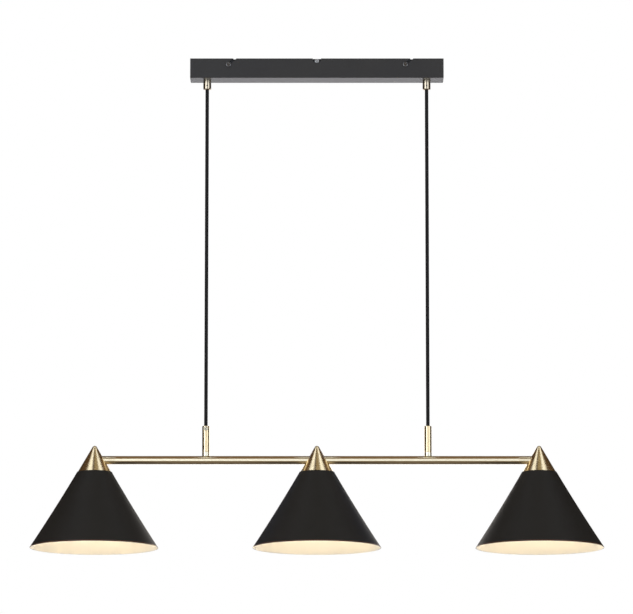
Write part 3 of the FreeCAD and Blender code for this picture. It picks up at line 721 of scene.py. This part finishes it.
cap_brass = brushed_brass("brass brushed round the cap", "Z", brass_tones, 0.26, 0.28, 0.75)
for place, x in shade_places.items():
    cap = turned(cap_wall_line(0.0) + cap_wall_line(cap_wall)[::-1], x, sides=160)
    for side in cap_bores[place]:
        drill(cap, cap_bore_radius, (x, 0, bar_z), (x + side * cap_drill_reach, 0, bar_z),
              sides=96)
    soften(cap, turned_edge)
    dress(cap, "cone_cap_" + place, cap_brass, "bar")

# Shades: spun from 0.8 mm steel, slightly hollow in profile, satin black outside and
# warm white inside. Each is clamped between its cap and a nut on a length of threaded tube.
shade_wall = 0.0008
shade_top_radius = 0.03043
rim_radius = 0.1125
rim_z = -0.8705
shade_bow = 0.001
profile_steps = 20
rim_glow_band = 0.0024
nipple_hole = 0.00405
shade_edge = 0.0002
lining_tone = (0.88, 0.82, 0.695)


def bowed(start, end, bow, steps):
    """Points on a shallow arc from start to end, hollow by bow towards the axis."""
    (r0, z0), (r1, z1) = start, end
    length = math.hypot(r1 - r0, z1 - z0)
    across = ((z1 - z0) / length, -(r1 - r0) / length)
    points = []
    for step in range(steps + 1):
        share = step / steps
        push = bow * (1 - (2 * share - 1) ** 2)
        points.append((r0 + (r1 - r0) * share + across[0] * push,
                       z0 + (z1 - z0) * share + across[1] * push))
    return points


satin_black, shader = new_finish("satin black paint", (0.0135, 0.0119, 0.0101), 0.6)
shader.inputs["Specular IOR Level"].default_value = 0.3
shader.inputs["Specular Tint"].default_value = (1, 0.94, 0.85, 1)
black_grain = grain(satin_black, 1500, detail=3.0)
tint(satin_black, grain(satin_black, 25), (0.0127, 0.0112, 0.0095), (0.0143, 0.0126, 0.0108),
     shader.inputs["Base Color"])
vary(satin_black, black_grain, 0.56, 0.64, shader.inputs["Roughness"])
dents(satin_black, black_grain, 0.00003, shader)
lining, shader = new_finish("warm white lining", lining_tone, 0.45)
vary(lining, grain(lining, 900), 0.40, 0.52, shader.inputs["Roughness"])
# Painted light: a warm brown band at the foot of the black outside stands in for the lit lining's
# glow caught on the rim.
painted_rim_glow, shader = new_finish("painted rim glow", (0.06, 0.020, 0.010), 0.5)
vary(painted_rim_glow, grain(painted_rim_glow, 900), 0.44, 0.58, shader.inputs["Roughness"])

shade_lean = math.atan2(rim_radius - shade_top_radius, cap_base_z - rim_z)
wall_across = shade_wall / math.cos(shade_lean)
outer_line = bowed((shade_top_radius, cap_base_z), (rim_radius, rim_z), shade_bow, profile_steps)
# A ring of faces just above the rim bounds the band of painted rim glow.
outer_line.insert(-1, (rim_radius - rim_glow_band * math.tan(shade_lean), rim_z + rim_glow_band))
inner_top = (shade_top_radius + shade_wall * math.tan(shade_lean) - wall_across,
             cap_base_z - shade_wall)
inner_line = bowed(inner_top, (rim_radius - wall_across, rim_z), shade_bow, profile_steps)
shade_outline = [(nipple_hole, cap_base_z)] + outer_line + inner_line[::-1]
shade_outline += [(nipple_hole, cap_base_z - shade_wall)]
for place, x in shade_places.items():
    shade = turned(shade_outline, x, sides=192)
    soften(shade, shade_edge)
    dress(shade, "shade_" + place, [satin_black, lining, painted_rim_glow], "bar")
    for face in shade.data.polygons:
        outward = Vector((face.center.x - x, face.center.y, 0)).normalized()
        looks_in = face.normal.dot(outward) < -0.3
        looks_down = face.normal.z < -0.9
        if looks_in or (looks_down and face.center.z > rim_z + rim_glow_band):
            face.material_index = 1
        # The lowest band of the outside takes the painted rim glow.
        elif face.center.z < rim_z + rim_glow_band:
            face.material_index = 2

# Lampholders: moulded black sockets for 14 mm bases, each screwed on the threaded tube
# under its shade's nut, with a ribbed skirt, a threaded sleeve and a centre contact.
holder_radius = 0.014
holder_top_radius = 0.008
holder_top_z = -0.7421
holder_shoulder_z = -0.7501
holder_mouth_z = -0.7841
holder_bore = 0.0079
holder_bore_top_z = -0.7581
skirt_top_z = -0.7525
skirt_low_z = -0.7815
skirt_inner_radius = 0.0135
holder_ribs = 40
rib_depth = 0.00035
rib_inset = 0.0002

phenolic, shader = new_finish("black phenolic", (0.022, 0.022, 0.022), 0.35)
vary(phenolic, grain(phenolic, 1200), 0.28, 0.44, shader.inputs["Roughness"])
nickel, shader = new_finish("nickel plate", (0.66, 0.62, 0.55), 0.24, metallic=1.0)
vary(nickel, grain(nickel, 1200), 0.18, 0.32, shader.inputs["Roughness"])
for place, x in shade_places.items():
    holder = turned([(0.0, holder_top_z), (holder_top_radius, holder_top_z),
                     (holder_radius, holder_shoulder_z), (holder_radius, skirt_top_z),
                     (holder_radius, skirt_low_z), (holder_radius, holder_mouth_z),
                     (holder_bore, holder_mouth_z), (holder_bore, holder_bore_top_z),
                     (0.0, holder_bore_top_z)], x, sides=4 * holder_ribs)
    soften(holder, turned_edge)

    def in_groove(middle, normal):
        """Whether a face lies in a groove between two ribs of the skirt."""
        angle = math.atan2(middle.y, middle.x - x)
        outside = math.hypot(middle.x - x, middle.y) > skirt_inner_radius
        skirt = skirt_low_z < middle.z < skirt_top_z and outside
        return skirt and math.floor(angle / (math.pi / holder_ribs)) % 2 == 0

    pick(holder, faces=in_groove)
    bpy.ops.mesh.inset(thickness=rib_inset, depth=-rib_depth)
    bpy.ops.object.mode_set(mode="OBJECT")
    bpy.ops.object.shade_smooth_by_angle(angle=math.radians(30))
    dress(holder, "lampholder_" + place, phenolic, "bar")
dress(merged_copy("shade_nuts", fitting_edge), "shade_nuts", zinc, "bar")
dress(merged_copy("shade_nipples", fitting_edge), "shade_nipples", zinc, "bar")
dress(merged_copy("socket_shells", fitting_edge), "socket_shells", nickel, "bar")
dress(merged_copy("centre_contacts", fitting_edge), "centre_contacts", nickel,
      "bar")

# Bulbs: small opal globes with a 14 mm screw base, lit. Each comes out downwards.
globe_radius = 0.0225
globe_z = -0.8161
neck_radius = 0.008
glass_top_z = -0.7863
glass_wall = 0.001
neck_steps = 8
ball_steps = 32

opal, shader = new_finish("opal glass", (0.90, 0.88, 0.84), 0.25)
shader.inputs["Emission Color"].default_value = (1.0, 0.87, 0.69, 1)
shader.inputs["Emission Strength"].default_value = 17.0
vary(opal, grain(opal, 300), 0.2, 0.32, shader.inputs["Roughness"])


def globe_line(inset):
    """One surface of the glass, this far inside the outer one, from its neck to its pole."""
    ball = globe_radius - inset
    neck = neck_radius - inset
    rise = glass_top_z - globe_z
    hollow = (rise * rise + neck * neck - ball * ball) / (2 * (ball - neck))
    reach = math.atan2(rise, neck + hollow)
    points = []
    for step in range(neck_steps + 1):
        turn = reach * step / neck_steps
        points.append((neck + hollow - hollow * math.cos(turn),
                       glass_top_z - hollow * math.sin(turn)))
    for step in range(1, ball_steps + 1):
        angle = reach - (reach + math.pi / 2) * step / ball_steps
        points.append((ball * math.cos(angle), globe_z + ball * math.sin(angle)))
    points[-1] = (0.0, globe_z - ball)
    return points


for place, x in shade_places.items():
    body = "bulb_" + place
    glass = turned(globe_line(0.0) + globe_line(glass_wall)[::-1], x, sides=96)
    only(glass)
    bpy.ops.object.shade_smooth_by_angle(angle=math.radians(40))
    dress(glass, "bulb_glass_" + place, opal, body)
    dress(merged_copy("bulb_base_" + place, fitting_edge), "bulb_base_" + place, nickel,
          body)

# Floor, far below the hanging light: plain and pale, open to a camera that looks up
# through it.
floor_z = -2.5
floor_size = 60.0
bpy.ops.object.select_all(action="DESELECT")
bpy.ops.mesh.primitive_plane_add(size=floor_size, location=(0, 0, floor_z))
floor = bpy.context.object
floor.name = "floor"
pale, shader = new_finish("pale floor", (0.86, 0.86, 0.85), 0.8)
vary(pale, grain(pale, 3), 0.75, 0.85, shader.inputs["Roughness"])
nodes, links = pale.node_tree.nodes, pale.node_tree.links
side_of_floor = nodes.new("ShaderNodeNewGeometry")
open_below = nodes.new("ShaderNodeBsdfTransparent")
choice = nodes.new("ShaderNodeMixShader")
links.new(side_of_floor.outputs["Backfacing"], choice.inputs["Fac"])
links.new(shader.outputs["BSDF"], choice.inputs[1])
links.new(open_below.outputs["BSDF"], choice.inputs[2])
links.new(choice.outputs["Shader"], nodes["Material Output"].inputs["Surface"])
floor.data.materials.append(pale)

# Studio: a white surround that metal reflects, plain soft light from two tall side boxes,
# and white and dark screens, cards and flags round the light, seen by reflections alone,
# that give the brass its bands.
surround_light = 0.50
aim = Vector((0, 0, -0.55))

world = bpy.data.worlds.new("studio")
bpy.context.scene.world = world
world.use_nodes = True
nodes, links = world.node_tree.nodes, world.node_tree.links
rays = nodes.new("ShaderNodeLightPath")
seen = nodes.new("ShaderNodeMath")
seen.operation = "MAXIMUM"
links.new(rays.outputs["Is Camera Ray"], seen.inputs[0])
links.new(rays.outputs["Is Glossy Ray"], seen.inputs[1])
seen_through = nodes.new("ShaderNodeMath")
seen_through.operation = "MAXIMUM"
links.new(seen.outputs["Value"], seen_through.inputs[0])
links.new(rays.outputs["Is Transmission Ray"], seen_through.inputs[1])
white = nodes["Background"]
white.inputs["Color"].default_value = (1, 1, 1, 1)
white.inputs["Strength"].default_value = 1.0
lighting = nodes.new("ShaderNodeBackground")
lighting.inputs["Color"].default_value = (1, 1, 1, 1)
lighting.inputs["Strength"].default_value = surround_light
choice = nodes.new("ShaderNodeMixShader")
links.new(seen_through.outputs["Value"], choice.inputs["Fac"])
links.new(lighting.outputs["Background"], choice.inputs[1])
links.new(white.outputs["Background"], choice.inputs[2])
links.new(choice.outputs["Shader"], nodes["World Output"].inputs["Surface"])


def spot(azimuth, elevation, distance):
    """A place round the light, azimuth from the front towards +X, both in degrees."""
    turn, rise = math.radians(azimuth), math.radians(elevation)
    return aim + distance * Vector((math.sin(turn) * math.cos(rise),
                                    -math.cos(turn) * math.cos(rise), math.sin(rise)))


def soft_box(name, azimuth, elevation, distance, width, height, brightness):
    """A rectangular lamp that faces the light and looks this bright in it."""
    lamp = bpy.data.lights.new(name, "AREA")
    lamp.shape = "RECTANGLE"
    lamp.size = width
    lamp.size_y = height
    lamp.energy = brightness * math.pi * width * height
    box = bpy.data.objects.new(name, lamp)
    bpy.context.scene.collection.objects.link(box)
    box.location = spot(azimuth, elevation, distance)
    box.rotation_euler = (aim - box.location).to_track_quat("-Z", "Y").to_euler()
    box.visible_camera = False


def lit_sheet(name, place, tone, level):
    """A sheet of even brightness, set out by shares across and up, that only reflections see."""
    bpy.ops.object.select_all(action="DESELECT")
    bpy.ops.mesh.primitive_grid_add(x_subdivisions=24, y_subdivisions=24, size=1)
    sheet = bpy.context.object
    for vertex in sheet.data.vertices:
        vertex.co = place(vertex.co.x + 0.5, vertex.co.y + 0.5)
    sheet.name = name
    finish = bpy.data.materials.new(name)
    finish.use_nodes = True
    finish.cycles.emission_sampling = "NONE"
    nodes, links = finish.node_tree.nodes, finish.node_tree.links
    nodes.remove(nodes["Principled BSDF"])
    glow = nodes.new("ShaderNodeEmission")
    glow.inputs["Color"].default_value = (*tone, 1)
    glow.inputs["Strength"].default_value = level
    links.new(glow.outputs["Emission"], nodes["Material Output"].inputs["Surface"])
    sheet.data.materials.append(finish)
    sheet.visible_camera = False
    sheet.visible_diffuse = False
    sheet.visible_transmission = False
    sheet.visible_shadow = False


def between(ends, share):
    """The number at this share of the way between two ends."""
    return ends[0] + (ends[1] - ends[0]) * share


def screen(name, azimuths, elevations, distance, tone, level):
    """A curved screen round the light."""
    lit_sheet(name, lambda across, up: spot(between(azimuths, across), between(elevations, up),
                                            distance), tone, level)


def card(name, sides, depth, heights, tone, level):
    """A flat upright card behind the light."""
    lit_sheet(name, lambda across, up: Vector((between(sides, across), depth,
                                               between(heights, up))), tone, level)


def flag(name, sides, depths, height, tone, level):
    """A flat card that lies over the bar."""
    lit_sheet(name, lambda across, up: Vector((between(sides, across), between(depths, up),
                                               height)), tone, level)


cool = (0.88, 1.0, 1.2)
warm = (1.14, 0.95, 0.76)
amber = (1.14, 0.76, 0.46)
olive = (1.09, 1.03, 0.72)
blue = (0.87, 1.1, 1.9)
screen("screen in front", (-10, 10), (-4, 31), 4.4, warm, 0.2)
screen("dark screen in front", (-80, 80), (28, 52), 5.5, warm, 0.2)
screen("slit over the front", (-32, -11), (52, 80), 4.5, amber, 0.03)
screen("screen over the front", (-22, 47), (60, 72), 5.6, olive, 0.6)
screen("dark screen over the front", (-60, 60), (52, 90), 5.8, amber, 0.12)
screen("screen over the back", (-180, 180), (70, 90), 6.0, warm, 0.22)
screen("screen at the back", (162, 198), (-3, 70), 5.4, warm, 0.12)
screen("low screen behind", (110, 250), (-26, -3), 5.4, (1, 0.99, 1.04), 1.75)
for side, level, box_side, white_side, high in (
        (-1, 1.5, -38, -54, (-33, -85)), (1, 1.0, 42, 60, (41, 91))):
    soft_box("side box", box_side, 6, 3.4, 2.0, 2.2, level)
    screen("white screen", (0, white_side), (-22, 28), 4.6, cool, level)
    screen("high white screen", high, (51, 67), 4.6, cool, 2.2)
    screen("dark screen at the side", (white_side, side * 162), (-30, 28), 5.4, warm, 0.05)
    screen("dark screen beside", (side * 80, side * 162), (28, 70), 5.4, amber, 0.09)
    card("near card behind", (side * 0.50, side * 0.84), 0.6, (-0.48, -0.10), blue, 0.48)
    for near, far in ((0.034, 0.182), (0.208, 0.358)):
        flag("flag over the bar", (side * near, side * far), (-0.0145, 0.002), -0.700, amber,
             0.17)
    card("dark card behind the end", (side * 0.40, side * 0.62), 0.172, (-0.88, -0.30), amber, 0.06)
screen("low white screen at the right", (60, 86), (-30, 6), 4.7, cool, 0.85)
card("card behind the middle", (-0.20, 0.45), 0.6, (-0.82, -0.53), (1.05, 1, 0.95), 2.6)
screen("dark screen below the front", (-90, 90), (-90, -34), 1.9, warm, 0.17)
screen("dark screen below the back", (90, 270), (-90, -28), 1.9, warm, 0.08)

# Camera, low and far in front, looking slightly up. Its place and pitch come from the rims'
# ellipses and the canopy's underside, its lens from the photo's scale.
sensor_width = 36.0
lens_in_pixels = 4534.3
photo_width = 633
camera_place = (-0.0007, -7.8935, -1.7454)
camera_pitch = 9.3651
camera_data = bpy.data.cameras.new("camera")
camera_data.sensor_width = sensor_width
camera_data.lens = lens_in_pixels / photo_width * sensor_width
camera_data.clip_end = 100
camera = bpy.data.objects.new("camera", camera_data)
bpy.context.scene.collection.objects.link(camera)
camera.location = camera_place
camera.rotation_euler = (math.radians(90 + camera_pitch), 0, 0)
bpy.context.scene.camera = camera
bpy.context.scene.view_settings.view_transform = "Standard"
